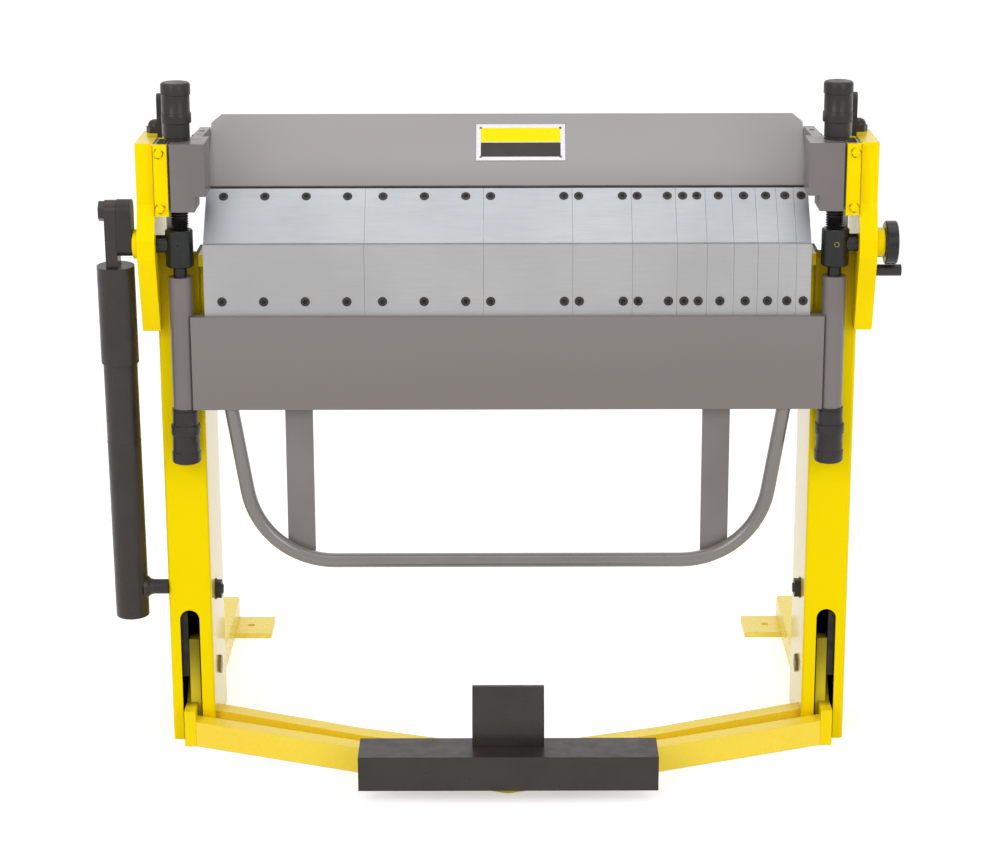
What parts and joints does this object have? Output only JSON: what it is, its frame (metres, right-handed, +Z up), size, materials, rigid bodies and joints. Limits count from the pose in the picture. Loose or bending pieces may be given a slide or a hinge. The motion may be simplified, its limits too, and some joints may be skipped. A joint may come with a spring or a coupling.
{
  "type": "box and pan folder",
  "caption": "Foot operated box and pan folder: segmented clamping fingers, swinging bending beam, spring strut and pedal on a welded stand.",
  "frame": {"origin": "on the floor, midway between the two rear anchor holes", "axes": "+X to the operator's right along the fold line, +Y to the back, +Z up"},
  "size_m": [1.3533, 0.905, 1.175],
  "materials": {
    "yellow": "gloss",
    "beam_gray": "satin",
    "steel": "ground",
    "black": "satin",
    "plate": "gloss"
  },
  "bodies": {
    "stand": {"anchor_feet": "yellow", "bearing_flanges": "yellow", "bed_bar": "steel", "bed_ledge": "steel", "cap_nuts": "black", "column_left": "yellow", "column_right": "yellow", "front_brace": "yellow", "guide_covers": "yellow", "locking_levers": "black", "lower_beam": "yellow", "pivot_bolts": "steel", "rear_rail_left": "yellow", "rear_rail_right": "yellow", "side_pins": "black", "side_plate_left": "yellow", "side_plate_right": "yellow"},
    "clamp": {"finger_025": "steel", "finger_030": "steel", "finger_035": "steel", "finger_040": "steel", "finger_045": "steel", "finger_050": "steel", "finger_075": "steel", "finger_100": "steel", "finger_150": "steel", "finger_200": "steel", "finger_270": "steel", "clamping_beam": "beam_gray", "end_block_left": "beam_gray", "end_block_right": "beam_gray", "clamp_screws": "black", "top_knobs": "black", "link_bars": "steel", "nameplate": "plate"},
    "bending_beam": {"bending_bars": "steel", "apron": "beam_gray", "end_posts": "beam_gray", "pivot_collar_left": "black", "pivot_collar_right": "black", "low_knobs": "black", "crank": "black", "stop_disc": "black", "handle_tube": "beam_gray", "handle_straps": "beam_gray"},
    "pedal": {"pedal_levers": "yellow", "pedal_frame": "yellow", "pedal_tread": "black", "toe_hook": "black"},
    "strut_tube_body": {"strut_tube": "black"},
    "strut_sleeve_body": {"strut_sleeve": "black", "strut_rod": "black"}
  },
  "joints": [
    {"name": "clamp_lift", "type": "slide", "parent": "stand", "child": "clamp", "axis": [0, 0, 1], "range_m": [0, 0.04]},
    {"name": "beam_swing", "type": "hinge", "parent": "stand", "child": "bending_beam", "pos_m": [0, -0.595, 0.903], "axis": [-1, 0, 0], "range_deg": [0, 135]},
    {"name": "pedal_swing", "type": "hinge", "parent": "stand", "child": "pedal", "pos_m": [0, -0.485, 0.112], "axis": [-1, 0, 0], "range_deg": [0, 38.7]},
    {"name": "strut_swing", "type": "hinge", "parent": "stand", "child": "strut_tube_body", "pos_m": [-0.6585, -0.56, 0.285], "axis": [-1, 0, 0], "range_deg": [0, 3.45]},
    {"name": "strut_slide", "type": "slide", "parent": "strut_tube_body", "child": "strut_sleeve_body", "axis": [0, 0.0519, -0.9987], "range_m": [0, 0.0966]}
  ],
  "couplings": [
    {"joint": "pedal_swing", "follows": "clamp_lift", "rad_per_m": 16.878},
    {"joint": "strut_swing", "follows": "beam_swing", "ratio": 0.025393},
    {"joint": "strut_slide", "follows": "beam_swing", "m_per_rad": 0.040951}
  ]
}
